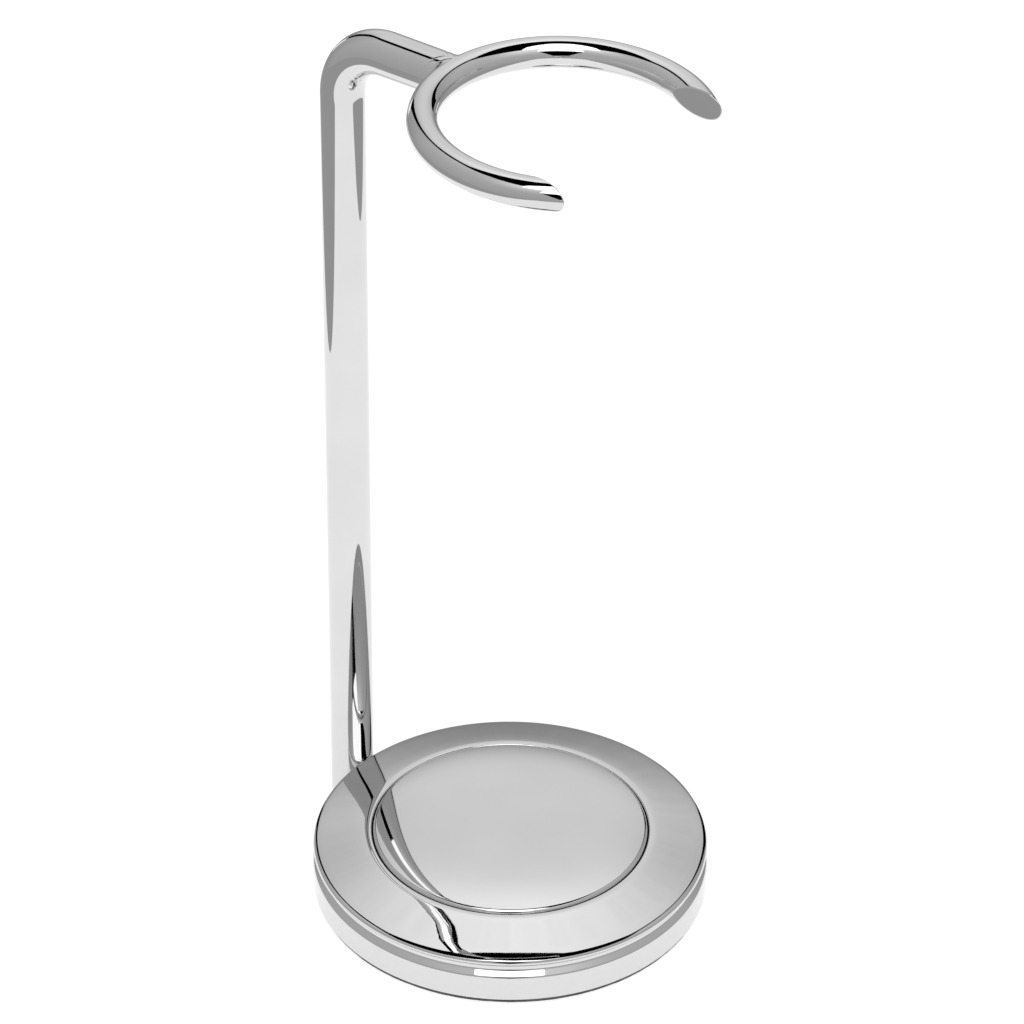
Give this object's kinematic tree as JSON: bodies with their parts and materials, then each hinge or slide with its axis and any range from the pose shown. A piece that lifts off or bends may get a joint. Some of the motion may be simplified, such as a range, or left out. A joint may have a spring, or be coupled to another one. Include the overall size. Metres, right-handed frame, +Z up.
{
  "type": "shaving brush stand",
  "caption": "Chrome stand that hangs a shaving brush by its neck in an open level ring, held by a bent post on a weighted round base.",
  "frame": {"origin": "centre of the foot pad's underside, on the surface that the stand rests on", "axes": "+Z up along the post, +Y from the base's centre towards the post, the ring's mouth opens towards -Y, +X to the right seen from the mouth"},
  "size_m": [0.0604, 0.0666, 0.1404],
  "materials": {
    "polished_chrome": "bright polished chrome plate",
    "cast_iron_weight": "as cast, painted grey",
    "zinc_plated_fasteners": "zinc plated",
    "sheet_steel": "rolled sheet, satin",
    "foot_felt": "pressed black felt"
  },
  "bodies": {
    "root": {"base_shell": "polished_chrome", "centre_disc": "polished_chrome", "post": "polished_chrome", "ring": "polished_chrome", "ballast_weight": "cast_iron_weight", "ballast_flat_washer": "zinc_plated_fasteners", "ballast_lock_washer": "zinc_plated_fasteners", "ballast_nut": "zinc_plated_fasteners", "bottom_plate": "sheet_steel", "bottom_plate_screw_1": "zinc_plated_fasteners", "bottom_plate_screw_2": "zinc_plated_fasteners", "bottom_plate_screw_3": "zinc_plated_fasteners", "foot_pad": "foot_felt", "post_screw": "zinc_plated_fasteners", "post_lock_washer": "zinc_plated_fasteners", "post_locating_pin": "zinc_plated_fasteners", "ring_stud": "zinc_plated_fasteners"}
  },
  "joints": []
}
